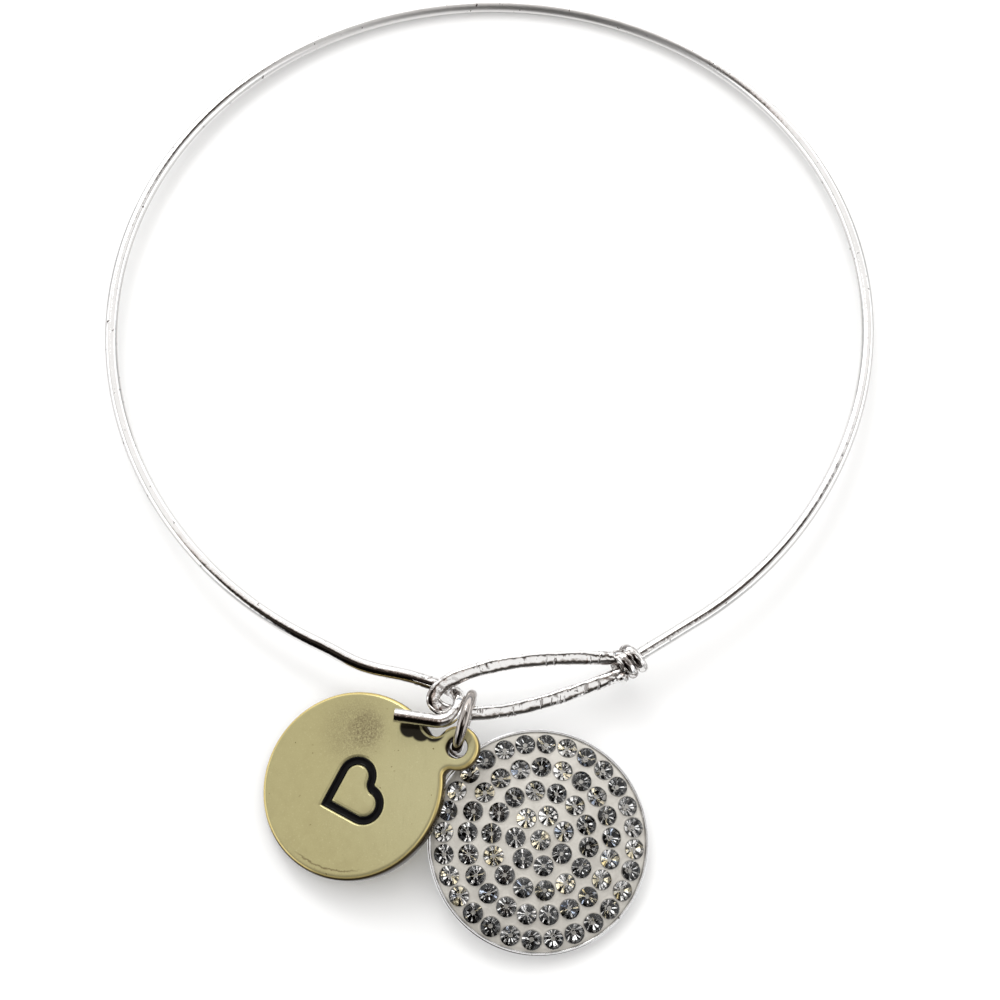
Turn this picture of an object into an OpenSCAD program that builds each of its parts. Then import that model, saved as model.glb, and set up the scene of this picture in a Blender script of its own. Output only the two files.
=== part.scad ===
// Wire bangle with a hook and eye, and two round charms on one jump ring.
// Origin: on the table, below the middle of the whole. X runs across the bangle, +Y away from the clasp.
// All sizes are in millimetres. The bangle lies as it rests: the hoop's far side and the low edge of each
// charm touch the table.

/* [Bangle wire] */
// Diameter of the round wire
wire_d = 1.05; // [1:0.01:1.06]
// Mean diameter of the hoop, from wire middle to wire middle
hoop_d = 63.94; // [63.6:0.02:64.2]
// Swelling of the hoop's radius that comes twice round it
oval = 0.15; // [0:0.01:0.2]
// Swelling of the hoop's radius that comes three times round it
three_lobe = 0.19; // [0:0.01:0.25]
// Angle by which the clasp side is lifted off the table
hoop_tilt = 2.2; // [2.1:0.05:2.3]

/* [Hook] */
// Place on the hoop where the hook's straight leg begins
hook_angle = 252; // [251.5:0.1:252.5]
// Direction of the leg
leg_heading = 341.4; // [341:0.1:342]
// Length of the leg
hook_leg = 7; // [6.98:0.01:7.04]
// Outward sag of the wire where the hoop runs into the leg
sag = 0.35; // [0.2:0.01:0.36]
// Radius of the bend, seen from above
hook_r = 1.58; // [1.56:0.01:1.6]
// Height of the tip above the leg
hook_lift = 1.8; // [1.78:0.01:1.9]
// Angle of the bend over which the wire climbs to the tip's height
hook_climb = 100; // [98:1:102]
// Angle through which the wire turns back
hook_turn = 170; // [168:1:171]
// Length of the straight tip
hook_tip = 3.1; // [2.5:0.1:3.2]

/* [Eye and knot] */
// Direction of the straight neck behind the knot
neck_heading = 212; // [211.5:0.1:212.5]
// Length of the eye, from the knot to the nose
eye_length = 14.75; // [14.7:0.01:14.8]
// Width of the eye at its widest, between the middles of the strands
eye_width = 3.25; // [3.24:0.01:3.3]
// Width of the flattened wire
strip_w = 1.1; // [1.05:0.01:1.12]
// Thickness of the flattened wire
strip_t = 0.7; // [0.66:0.01:0.72]
// Height of the eye's nose above the plane of the hoop
eye_lift = 0.98; // [0.96:0.01:1]
// Angle by which the eye is rolled, with its far strand high
eye_roll = 18; // [17:0.5:19]
// Turns of wire round the neck
knot_turns = 2.1; // [2:0.1:2.4]
// Distance from one turn to the next
knot_pitch = 0.9; // [0.89:0.01:0.94]

/* [Jump ring] */
// Outer diameter of the jump ring
ring_d = 5; // [4.96:0.01:5.04]
// Wire diameter of the jump ring
ring_wire = 0.84; // [0.8:0.01:0.86]

/* [Gold disc] */
// Diameter of the gold disc
disc_d = 14.35; // [14.3:0.01:14.4]
// Thickness of the gold disc
disc_h = 1.3; // [1.2:0.05:1.35]
// Radius of the rounded edge
disc_round = 0.35; // [0.3:0.01:0.4]
// Distance from the disc's middle to the hole in its ear
ear_reach = 8.6; // [8.55:0.01:8.65]
// Outer radius of the ear
ear_r = 1.7; // [1.65:0.01:1.75]
// Thickness of the ear
ear_h = 1; // [0.9:0.05:1.1]
// Diameter of the hole in the ear
ear_hole_d = 1.62; // [1.6:0.01:1.65]
// Side of the square that the heart is drawn from
heart_side = 3.1; // [2.8:0.05:3.3]
// Width of the enamelled line
heart_line = 0.66; // [0.6:0.02:0.7]
// Depth of the enamelled line
heart_depth = 0.35; // [0.3:0.01:0.4]

/* [Crystal disc] */
// Diameter of the crystal disc
cup_d = 16.8; // [16.7:0.05:16.9]
// Height of the metal cup
cup_h = 0.9; // [0.85:0.01:0.95]
// Thickness of the cup's wall
cup_wall = 0.25; // [0.22:0.01:0.28]
// Thickness of the cup's floor
cup_floor = 0.4; // [0.35:0.01:0.45]
// Rise of the clay dome above the cup's lip
dome_rise = 1.2; // [1.1:0.05:1.25]
// Diameter of a stone
stone_d = 1.52; // [1.45:0.01:1.53]

/* [Hidden] */
$fn = 64;
gap = 0.02;

// Where the two charms lie: middle, lean to the side and lean backwards
disc_at = [-10.27, -40.2];
disc_side = 13.4;
disc_back = 0.2;
disc_ear_angle = 16.45;
cup_at = [3.774, -44.29];
cup_side = -4.5;
cup_back = -5.5;
cup_ear_angle = 129.5;
heart_at = [-0.1, -0.75];

// Where the jump ring hangs, with its turn and its lean
ring_at = [-1.83, -35.66, 4.09];
ring_turn = -15.4;
ring_lean = 2.4;

hoop_r = hoop_d / 2;
ring_r = (ring_d - ring_wire) / 2;
disc_r = disc_d / 2;
cup_r = cup_d / 2;
cup_edge = 0.12;
silver = [0.82, 0.82, 0.84];
gold = [0.78, 0.72, 0.46];

// The middle of the whole along Y, from the hoop's far side to the near edge of the crystal disc
hoop_far = (hoop_r - three_lobe) * cos(hoop_tilt) + wire_d / 2;
cup_near = cup_at[1] - cup_edge
    - (cup_r - cup_edge) * cos(cup_back)
    - (cup_h / 2 - cup_edge) * sin(abs(cup_back));
middle_y = (hoop_far + cup_near) / 2;
module at_origin() {
    translate([0, -middle_y, 0])
        children();
}

// The angle between the vertical and the axis of a disc that leans both ways
function lean(side, back) = acos(cos(side) * cos(back));

// Height of the middle of a disc with rounded edges whose lowest edge touches the table
function rest_height(r, h, round_r, tilt) =
    (r - round_r) * sin(tilt) + (h / 2 - round_r) * cos(tilt) + round_r;

// Vector helpers
function unit(v) = v / norm(v);
function rounded(a, n) = sign(a) * pow(abs(a), n);

// One cross-section of a swept bar: middle, sideways vector, upward vector, width and height.
// A squareness below 1 flattens the top and bottom, as a hammer does.
section_sides = 12;
function section(p, side, up, w, h, squareness) = [
    for (i = [0 : section_sides - 1])
        let (a = 360 * (i + 0.5) / section_sides)
            p + side * w / 2 * rounded(cos(a), squareness) + up * h / 2 * rounded(sin(a), squareness)
];

// A closed solid through a list of cross-sections
module bar(sections) {
    rings = len(sections);
    sides = len(sections[0]);
    points = [for (ring = sections) for (p = ring) p];
    skin = [
        for (r = [0 : rings - 2]) for (i = [0 : sides - 1])
            let (j = (i + 1) % sides)
                [r * sides + j, r * sides + i, (r + 1) * sides + i, (r + 1) * sides + j]
    ];
    first_cap = [[for (i = [0 : sides - 1]) i]];
    last_cap = [[for (i = [sides - 1 : -1 : 0]) (rings - 1) * sides + i]];
    polyhedron(points = points, faces = concat(skin, first_cap, last_cap), convexity = 6);
}

// An arc of round wire in the XY plane
module wire_arc(r, d, start, turn) {
    rotate_extrude(start = start, angle = turn, $fn = 256)
        translate([r, 0])
            circle(d = d, $fn = 24);
}

// Frame of the hoop: its middle, with the clasp side lifted
module in_hoop() {
    at_origin()
        translate([0, 0, (hoop_r - three_lobe) * sin(hoop_tilt) + wire_d / 2 * cos(180 / section_sides)])
            rotate([-hoop_tilt, 0, 0])
                children();
}

// The wire's path runs from the hook's tip over the hoop into the neck and round the eye.
// Each row is a place in the hoop's frame and how far the wire is hammered flat there, from 0 to 1.
function heading(angle) = [cos(angle), sin(angle), 0];
function path_row(p, flat) = [p[0], p[1], p[2], flat];
function place(row) = [row[0], row[1], row[2]];
function flatness(row) = row[3];
function eased(u) = (1 - cos(180 * min(1, u))) / 2;

neck_angle = -58;
hoop_step = 3;
function hoop_point(a) = (hoop_r + oval * sin(2 * a) + three_lobe * sin(3 * a)) * heading(a);
sag_at = hoop_point(hook_angle) + 0.5 * heading(leg_heading);
sag_reach = 4.2;
function sagged(p) = p + sag * (1 - eased(norm(p - sag_at) / sag_reach)) * heading(hook_angle);
hoop_path = [
    for (a = [hook_angle - hoop_step : -hoop_step : neck_angle])
        path_row(sagged(hoop_point(a)), 0)
];

// Seen from above the hook is a straight leg, a round bend and a straight tip. The wire climbs in the bend.
bend_step = 9;
leg_end = hoop_point(hook_angle) + hook_leg * heading(leg_heading);
function bend_point(a) = leg_end
    + hook_r * (heading(leg_heading - 90) + heading(leg_heading + 90 - a))
    + [0, 0, hook_lift * eased(a / hook_climb)];
tip_end = bend_point(hook_turn) + hook_tip * heading(leg_heading - hook_turn);
leg_steps = 5;
hook_path = concat(
    [path_row(tip_end, 0)],
    [for (a = [hook_turn : -bend_step : 0]) path_row(bend_point(a), 0)],
    [
        for (i = [1 : leg_steps])
            path_row(sagged(leg_end - i / leg_steps * hook_leg * heading(leg_heading)), 0)
    ]
);

neck_start = hoop_point(neck_angle);
neck_ahead = heading(neck_heading);
neck_length = 6.4;
neck_path = [for (along = [1 : neck_length]) path_row(neck_start + along * neck_ahead, 0)];

// The eye is a teardrop. Its two strands start side by side in the knot, and its nose is lifted.
eye_at = [10.21, -31.05, 0];
eye_heading = 191.8;
eye_steps = 44;
eye_first = 8;
strand_apart = 0.56;
teardrop_peak = 0.7698;
flat_from = 3;
eye_side = cos(eye_roll) * heading(eye_heading - 90) + [0, 0, sin(eye_roll)];
eye_normal = cross(eye_side, heading(eye_heading));
function eye_half(t) = strand_apart * cos(t / 2)
    + (eye_width / 2 - 0.2) * sin(t) * abs(sin(t / 2)) / teardrop_peak;
function eye_row(t) =
    let (along = eye_length * (1 - cos(t)) / 2,
         p = eye_at + along * heading(eye_heading) + eye_half(t) * eye_side)
        path_row(p + [0, 0, eye_lift * along / eye_length], min(1, along / flat_from));
eye_path = [for (i = [0 : eye_steps]) eye_row(eye_first + (360 - 2 * eye_first) * i / eye_steps)];

wire_path = concat(hook_path, hoop_path, neck_path, eye_path);

function path_heading(i) =
    unit(place(wire_path[min(i + 1, len(wire_path) - 1)]) - place(wire_path[max(i - 1, 0)]));
function wire_section(i) =
    let (ahead = path_heading(i),
         flat = flatness(wire_path[i]),
         up = flat * eye_normal + (1 - flat) * [0, 0, 1],
         side = unit(cross(up, ahead)))
        section(place(wire_path[i]), side, cross(ahead, side),
                wire_d + (strip_w - wire_d) * flat,
                wire_d + (strip_t - wire_d) * flat,
                1 - 0.35 * flat);

// The tail of the wire is wound round the neck, just before the eye
knot_steps = 14;
knot_wire = 0.88;
knot_end = 8.7;
knot_bite = 0.05;
wind_r = wire_d / 2 + knot_wire / 2 - knot_bite;
function wound(a) = [knot_pitch * a / 360, wind_r * cos(a), wind_r * sin(a)];
module knot() {
    translate(neck_start + (knot_end - knot_wire / 2 - knot_pitch * knot_turns) * neck_ahead)
        rotate([0, 0, neck_heading])
            bar([
                for (i = [0 : ceil(knot_turns * knot_steps)])
                    let (a = 360 * i / knot_steps,
                         out = [0, cos(a), sin(a)],
                         ahead = unit(wound(a + 1) - wound(a - 1)))
                        section(wound(a), out, cross(ahead, out), knot_wire, knot_wire, 1)
            ]);
}

module bangle_wire() {
    color(silver)
        in_hoop() {
            bar([for (i = [0 : len(wire_path) - 1]) wire_section(i)]);
            knot();
        }
}

module jump_ring() {
    color([0.5, 0.5, 0.52])
        at_origin()
            translate(ring_at)
                rotate([0, 90 + ring_lean, ring_turn])
                    wire_arc(ring_r, ring_wire, 0, 360);
}

// A round plate with rounded edges, its middle at the origin
module round_plate(r, h, round_r) {
    side_h = h - 2 * round_r;
    rotate_extrude($fn = 128)
        union() {
            translate([0, -h / 2])
                square([r - round_r, h]);
            translate([0, -side_h / 2])
                square([r, side_h]);
            for (side = [-1, 1])
                translate([r - round_r, side * side_h / 2])
                    circle(r = round_r, $fn = 24);
        }
}

// Heart pointing to -Y, drawn from a square on its corner and two circles, and drawn in by inset
module heart(inset) {
    c = heart_side / (2 * sqrt(2));
    lobe_r = heart_side / 2 - inset;
    reach = lobe_r / sqrt(2);
    for (side = [-1, 1])
        translate([side * c, 3 * c])
            circle(r = lobe_r);
    polygon([
        [0, inset * sqrt(2)],
        [c + reach, 3 * c - reach],
        [c, 3 * c],
        [0, 4 * c - inset],
        [-c, 3 * c],
        [-c - reach, 3 * c - reach]
    ]);
}

// The line of the heart, narrowed by side_gap on both sides, with its middle at the origin
heart_middle = 0.78 * heart_side;
module heart_line_shape(side_gap) {
    translate([0, -heart_middle])
        difference() {
            heart(side_gap);
            heart(heart_line - side_gap);
        }
}

// Frame of the gold disc: middle of its thickness, with +X uphill
module in_disc() {
    tilt = lean(disc_side, disc_back);
    at_origin()
        translate([disc_at[0], disc_at[1], rest_height(disc_r, disc_h, disc_round, tilt)])
            rotate([-disc_back, -disc_side, 0])
                children();
}

// Frame of the heart, sunk by depth into the disc's face, with its top towards the ear
module on_face(depth) {
    translate([heart_at[0], heart_at[1], disc_h / 2 - depth])
        rotate([0, 0, disc_ear_angle - 90])
            children();
}

neck_half = 1.2;
module initial_disc() {
    color(gold)
        in_disc()
            difference() {
                union() {
                    round_plate(disc_r, disc_h, disc_round);
                    rotate([0, 0, disc_ear_angle]) {
                        translate([ear_reach, 0, (disc_h - ear_h) / 2])
                            round_plate(ear_r, ear_h, disc_round);
                        translate([disc_r - neck_half, -neck_half, disc_h / 2 - ear_h])
                            cube([2 * neck_half, 2 * neck_half, ear_h]);
                    }
                }
                rotate([0, 0, disc_ear_angle])
                    translate([ear_reach, 0, -disc_h])
                        cylinder(h = 2 * disc_h, d = ear_hole_d);
                on_face(heart_depth)
                    linear_extrude(heart_depth + 1)
                        heart_line_shape(0);
            }
}

module enamel_motif() {
    color([0.05, 0.05, 0.05])
        in_disc()
            on_face(heart_depth - gap)
                linear_extrude(heart_depth - 3 * gap)
                    heart_line_shape(gap);
}

// Frame of the crystal disc: middle of the cup's underside, with the ear side uphill
module in_cup() {
    tilt = lean(cup_side, cup_back);
    at_origin()
        translate([cup_at[0], cup_at[1], rest_height(cup_r, cup_h, cup_edge, tilt)])
            rotate([-cup_back, -cup_side, 0])
                translate([0, 0, -cup_h / 2])
                    children();
}

cup_ear_wire = 0.6;
cup_ear_r = 1.15;
cup_ear_reach = cup_r + 0.96;
cup_ear_z = 0.65;
module pave_cup() {
    color(silver)
        in_cup()
            difference() {
                union() {
                    translate([0, 0, cup_h / 2])
                        round_plate(cup_r, cup_h, cup_edge);
                    rotate([0, 0, cup_ear_angle])
                        translate([cup_ear_reach, 0, cup_ear_z])
                            wire_arc(cup_ear_r, cup_ear_wire, 0, 360);
                }
                translate([0, 0, cup_floor])
                    cylinder(h = 2 * cup_h, r = cup_r - cup_wall, $fn = 128);
            }
}

// The clay fills the cup up to its lip and rises above it as a shallow dome
clay_r = cup_r - cup_wall - gap;
clay_lip = cup_h - 0.05;
dome_r = (clay_r * clay_r + dome_rise * dome_rise) / (2 * dome_rise);

// Rings of stones: number of stones, radius of the ring, direction of its first stone
RING_COUNT = 0;
RING_RADIUS = 1;
RING_PHASE = 2;
stone_rings = [
    [1, 0, 0],
    [7, 1.89, -82.5],
    [14, 3.69, -84.3],
    [21, 5.46, -82.8],
    [28, 7.26, -94.3]
];

// A frame on the dome for each stone, with +Z out of the clay
module at_each_stone() {
    for (ring = stone_rings)
        for (i = [0 : ring[RING_COUNT] - 1])
            translate([0, 0, clay_lip + dome_rise - dome_r])
                rotate([0, asin(ring[RING_RADIUS] / dome_r), ring[RING_PHASE] + 360 * i / ring[RING_COUNT]])
                    translate([0, 0, dome_r + girdle_lift])
                        children();
}

// Brilliant-cut stone with eight sides: pavilion, girdle, crown and table
girdle_lift = 0.02;
girdle_h = 0.06;
crown_h = 0.24;
pavilion_h = 0.55;
table_r = 0.44;
module stone() {
    r = stone_d / 2;
    function ring_points(ring_r, z) = [for (i = [0 : 7]) [ring_r * cos(45 * i), ring_r * sin(45 * i), z]];
    function band(low) = [for (i = [0 : 7]) let (j = (i + 1) % 8) [low + j, low + i, low + 8 + i, low + 8 + j]];
    polyhedron(
        points = concat(
            ring_points(r, 0),
            ring_points(r, girdle_h),
            ring_points(table_r, girdle_h + crown_h),
            [[0, 0, -pavilion_h]]
        ),
        faces = concat(
            band(0),
            band(8),
            [[for (i = [7 : -1 : 0]) 16 + i]],
            [for (i = [0 : 7]) [i, (i + 1) % 8, 24]]
        )
    );
}

pocket_gap = 0.03;
module clay_bed() {
    color([0.83, 0.82, 0.79])
        in_cup()
            difference() {
                intersection() {
                    translate([0, 0, clay_lip + dome_rise - dome_r])
                        sphere(r = dome_r, $fn = 256);
                    translate([0, 0, cup_floor + gap])
                        cylinder(h = 3, r = clay_r, $fn = 128);
                }
                at_each_stone() {
                    r = stone_d / 2 + pocket_gap;
                    cylinder(h = 1, r = r, $fn = 24);
                    translate([0, 0, -pavilion_h - pocket_gap])
                        cylinder(h = pavilion_h + pocket_gap, r1 = 0.05, r2 = r, $fn = 24);
                }
            }
}

module crystals() {
    color([0.75, 0.76, 0.78])
        in_cup()
            at_each_stone()
                stone();
}

bangle_wire();
jump_ring();
initial_disc();
enamel_motif();
pave_cup();
clay_bed();
crystals();
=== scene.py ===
"""Wire bangle with a hook and eye, and two round charms on one jump ring, lying on a pale floor."""

import math
import random

import bmesh
import bpy
import numpy as np
from mathutils import Matrix, Vector


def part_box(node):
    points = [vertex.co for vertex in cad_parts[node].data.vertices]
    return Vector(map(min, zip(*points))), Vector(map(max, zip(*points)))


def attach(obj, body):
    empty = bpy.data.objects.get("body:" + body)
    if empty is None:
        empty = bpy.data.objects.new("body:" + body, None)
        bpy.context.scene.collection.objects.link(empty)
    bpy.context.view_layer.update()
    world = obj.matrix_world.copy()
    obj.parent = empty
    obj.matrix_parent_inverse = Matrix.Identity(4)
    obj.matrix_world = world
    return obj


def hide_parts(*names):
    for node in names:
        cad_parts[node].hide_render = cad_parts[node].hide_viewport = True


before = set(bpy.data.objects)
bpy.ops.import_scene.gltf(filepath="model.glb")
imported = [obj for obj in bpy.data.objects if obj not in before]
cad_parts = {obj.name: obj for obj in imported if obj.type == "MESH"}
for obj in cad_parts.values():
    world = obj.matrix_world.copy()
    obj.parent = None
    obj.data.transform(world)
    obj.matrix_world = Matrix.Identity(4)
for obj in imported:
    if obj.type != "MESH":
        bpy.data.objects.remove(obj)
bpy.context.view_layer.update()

# Sizes are in millimetres and angles in degrees, in the part's own frame. Meshes are turned to
# metres as they are made.
MM = 0.001

# Hoop
WIRE_D = 1.05
HOOP_R = 31.97
OVAL = 0.15
THREE_LOBE = 0.19
HOOP_TILT = 2.2
HOOP_FAR = (HOOP_R - THREE_LOBE) * math.cos(math.radians(HOOP_TILT)) + WIRE_D / 2
# The part's origin is the middle of the whole, and the sizes below count from the hoop's middle
HOOP_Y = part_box("bangle_wire")[1].y / MM - HOOP_FAR

# Hook
HOOK_ANGLE = 252
LEG_HEADING = 341.4
HOOK_LEG = 7
HOOK_R = 1.58
HOOK_LIFT = 1.8
HOOK_CLIMB = 100
HOOK_TURN = 170
HOOK_TIP = 3.1
# The sawn end is a flat face with a shallow groove inside its edge
END_GROOVE = 0.12
END_STEPS = 4
# The wire sags outwards where the hoop runs into the leg
SAG = 0.35
SAG_AHEAD = 0.5
SAG_REACH = 4.2

# Neck and eye
NECK_ANGLE = -58
NECK_HEADING = 212
NECK_LENGTH = 6.4
EYE_AT = (10.21, -31.05, 0)
EYE_HEADING = 191.8
EYE_LENGTH = 14.75
EYE_WIDTH = 3.25
EYE_LIFT = 0.98
EYE_ROLL = 18
EYE_FIRST = 8
STRAND_APART = 0.56
# Taken off the eye's half width, for what STRAND_APART adds to it
STRAND_ALLOWANCE = 0.2
# Highest value of the teardrop's formula
TEARDROP_PEAK = 0.7698
# The wire is flat from this far along the eye
FLAT_FROM = 3
STRIP_W = 1.1
STRIP_T = 0.7
STRIP_SQUARING = 0.35
# Hammer marks as waves of the strip's width: height, radians in a millimetre, start
HAMMER_WAVES = ((0.03, 1.9, 0), (0.02, 4.3, 1))
# The strip is thinner where it is wider
HAMMER_THINNING = 0.6

# Knot
KNOT_TURNS = 2.1
KNOT_PITCH = 0.9
KNOT_WIRE = 0.88
KNOT_END = 8.7
KNOT_BITE = 0.05
KNOT_START = KNOT_END - KNOT_WIRE / 2 - KNOT_PITCH * KNOT_TURNS

# Jump ring
RING_D = 5
RING_WIRE = 0.84
RING_AT = (-1.83, -35.66, 4.09)
RING_TURN = -15.4
RING_LEAN = 2.4

# Gold disc and its ear
DISC_R = 7.175
DISC_H = 1.3
DISC_ROUND = 0.35
DISC_AT = (-10.27, -40.2)
DISC_SIDE = 13.4
DISC_BACK = 0.2
EAR_ANGLE = 16.45
EAR_REACH = 8.6
EAR_R = 1.7
EAR_H = 1
EAR_HOLE_R = 0.81
HOLE_ROUND = 0.14
FILLET = 0.5
# The underside steps up to the thinner ear, beginning this far outside the disc
EAR_STEP_OUT = 0.1
EAR_STEP = 0.4
# A flat strip beside each rounding keeps the face flat
FACE_STRIP = 0.12

# Heart and its enamel
HEART_SIDE = 3.1
HEART_LINE = 0.66
HEART_DEPTH = 0.35
HEART_AT = (-0.1, -0.75)
HEART_MIDDLE = 0.78 * HEART_SIDE
# Width of the soft rounding that leads into the heart's groove
LIP = 0.2
GROOVE_INSET = 0.02
# The groove's side, as distance past its edge and depth: a flat strip, a soft lip and a steep wall
GROOVE_SLOPE = (
    (-0.2, 0), (-0.16, 0.004), (-0.11, 0.02), (-0.06, 0.048), (0, 0.1), (0.01, HEART_DEPTH - 0.03))
ENAMEL_NEAR = 0.035
ENAMEL_FAR = 0.055
ENAMEL_LIFT = 0.04
ENAMEL_SINK = 0.05
ENAMEL_SAG = 0.07

# Crystal disc and its ear
CUP_R = 8.4
CUP_H = 0.9
CUP_WALL = 0.25
CUP_FLOOR = 0.4
CUP_EDGE = 0.12
CUP_LIP = 0.09
CUP_AT = (3.774, -44.29)
CUP_SIDE = -4.5
CUP_BACK = -5.5
CUP_EAR_ANGLE = 129.5
CUP_EAR_WIRE = 0.6
CUP_EAR_R = 1.15
CUP_EAR_OUT = 0.96
CUP_EAR_Z = 0.65
DOME_RISE = 1.2
CLAY_GAP = 0.02
CLAY_R = CUP_R - CUP_WALL - CLAY_GAP
CLAY_LIP = CUP_H - 0.05
DOME_R = (CLAY_R ** 2 + DOME_RISE ** 2) / (2 * DOME_RISE)
# Turned surfaces end this far from their axis
HUB_R = 0.02

# Stones
STONE_R = 0.76
GIRDLE_LIFT = 0.02
GIRDLE_H = 0.06
CROWN_H = 0.24
TABLE_R = 0.44
PAVILION_H = 0.55
CULET_R = 0.045
# The crown's middle corners: distance outside the middle, and height as a share of the crown's
KITE_OUT = 0.02
KITE_RISE = 0.52
# Rings of stones: number, radius of the ring, direction of its first stone
STONE_RINGS = ((1, 0, 0), (7, 1.89, -82.5), (14, 3.69, -84.3), (21, 5.46, -82.8), (28, 7.26, -94.3))


# Vectors and frames

def heading(angle):
    """Unit vector in the level plane."""
    return np.array([math.cos(math.radians(angle)), math.sin(math.radians(angle)), 0.0])


def unit(v):
    return v / np.linalg.norm(v)


def turn(x, y, z):
    """Rotation matrix for turns about X, then Y, then Z."""
    return (Matrix.Rotation(math.radians(z), 4, "Z") @ Matrix.Rotation(math.radians(y), 4, "Y")
            @ Matrix.Rotation(math.radians(x), 4, "X"))


def move(x, y, z):
    return Matrix.Translation((x, y, z))


def lean(side, back):
    """Angle in radians from the level, for a disc that leans to the side and back."""
    return math.acos(math.cos(math.radians(side)) * math.cos(math.radians(back)))


def rest_height(r, h, round_r, tilt):
    """Height of the middle of a leaning disc with rounded edges that touches the table."""
    return (r - round_r) * math.sin(tilt) + (h / 2 - round_r) * math.cos(tilt) + round_r


# The solid's wire has 12 sides and lies on one of them
WIRE_SIDES_IN_SOLID = 12
LOWEST = WIRE_D / 2 * math.cos(math.pi / WIRE_SIDES_IN_SOLID)
HOOP_Z = (HOOP_R - THREE_LOBE) * math.sin(math.radians(HOOP_TILT)) + LOWEST
IN_HOOP = move(0, HOOP_Y, HOOP_Z) @ turn(-HOOP_TILT, 0, 0)
IN_RING = move(RING_AT[0], RING_AT[1] + HOOP_Y, RING_AT[2]) @ turn(0, 90 + RING_LEAN, RING_TURN)
DISC_Z = rest_height(DISC_R, DISC_H, DISC_ROUND, lean(DISC_SIDE, DISC_BACK))
IN_DISC = move(DISC_AT[0], DISC_AT[1] + HOOP_Y, DISC_Z) @ turn(-DISC_BACK, -DISC_SIDE, 0)
CUP_Z = rest_height(CUP_R, CUP_H, CUP_EDGE, lean(CUP_SIDE, CUP_BACK))
IN_CUP = move(CUP_AT[0], CUP_AT[1] + HOOP_Y, CUP_Z) @ turn(-CUP_BACK, -CUP_SIDE, 0) @ move(0, 0, -CUP_H / 2)


# Meshes

def linked_piece(name, mesh, material):
    """Object in the scene from a finished mesh."""
    piece = bpy.data.objects.new(name, mesh)
    bpy.context.scene.collection.objects.link(piece)
    mesh.materials.append(material)
    return piece


def new_piece(name, verts, faces, place, material, smooth=True):
    """Object from points in millimetres in the frame that place gives."""
    mesh = bpy.data.meshes.new(name)
    mesh.from_pydata([tuple(place @ Vector(v) * MM) for v in verts], [], faces)
    mesh.validate()
    if smooth:
        mesh.shade_smooth()
    else:
        mesh.shade_flat()
    return linked_piece(name, mesh, material)


def weigh_normals(piece, sharp_angle=50):
    """Keeps flat faces flat where they meet a narrow rounding."""
    piece.data.set_sharp_from_angle(angle=math.radians(sharp_angle))
    modifier = piece.modifiers.new("Normals", "WEIGHTED_NORMAL")
    modifier.keep_sharp = True
    # Above 50, larger faces count for more
    modifier.weight = 80


def joined_rings(rings, closed=False):
    """Quads between rings that all have the same number of points."""
    n = len(rings[0])
    faces = []
    last = len(rings) if closed else len(rings) - 1
    for r in range(last):
        a, b = r * n, (r + 1) % len(rings) * n
        for i in range(n):
            j = (i + 1) % n
            faces.append((a + i, a + j, b + j, b + i))
    return faces


def swept(sections):
    """Verts and faces of a bar with closed ends through a list of cross-sections."""
    verts = [p for ring in sections for p in ring]
    faces = joined_rings(sections)
    n = len(sections[0])
    faces.append(tuple(range(n))[::-1])
    faces.append(tuple((len(sections) - 1) * n + i for i in range(n)))
    return verts, faces


def signed_power(a, n):
    return math.copysign(abs(a) ** n, a)


def section(p, side, up, w, h, roundness, sides):
    """Points of a cross-section, w along side and h along up. Roundness 1 is round, and less is squarer."""
    ring = []
    for i in range(sides):
        a = 2 * math.pi * (i + 0.5) / sides
        across = side * w / 2 * signed_power(math.cos(a), roundness)
        ring.append(p + across + up * h / 2 * signed_power(math.sin(a), roundness))
    return ring


def add_mesh(verts, faces, more):
    """Adds another solid's verts and faces to the lists."""
    start = len(verts)
    verts.extend(more[0])
    faces.extend(tuple(start + i for i in f) for f in more[1])


def lathe(profile, segments):
    """Closed solid of revolution, from a closed loop of (radius, height) that stays off the axis."""
    rings = []
    for i in range(segments):
        a = 2 * math.pi * i / segments
        rings.append([(r * math.cos(a), r * math.sin(a), z) for r, z in profile])
    return [p for ring in rings for p in ring], joined_rings(rings, closed=True)


def arc_points(cx, cy, r, start, end, steps):
    """Points (x, y) on an arc, both ends included."""
    angles = [math.radians(start + (end - start) * i / steps) for i in range(steps + 1)]
    return [(cx + r * math.cos(a), cy + r * math.sin(a)) for a in angles]


def circle_points(cx, cy, r, steps):
    return arc_points(cx, cy, r, 0, 360 - 360 / steps, steps - 1)


def torus(r, wire_r, around, across):
    return lathe(circle_points(r, 0, wire_r, across), around)


# Materials

def mixed(nodes, links, kind, factor, a, b):
    """Colour from a mix node. The factor and both colours are values or sockets."""
    made = nodes.new("ShaderNodeMix")
    made.data_type = "RGBA"
    made.blend_type = kind
    for name, value in (("Factor_Float", factor), ("A_Color", a), ("B_Color", b)):
        socket = next(s for s in made.inputs if s.identifier == name)
        if isinstance(value, tuple):
            socket.default_value = (*value, 1)
        elif isinstance(value, (int, float)):
            socket.default_value = value
        else:
            links.new(value, socket)
    return next(s for s in made.outputs if s.identifier == "Result_Color")


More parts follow.
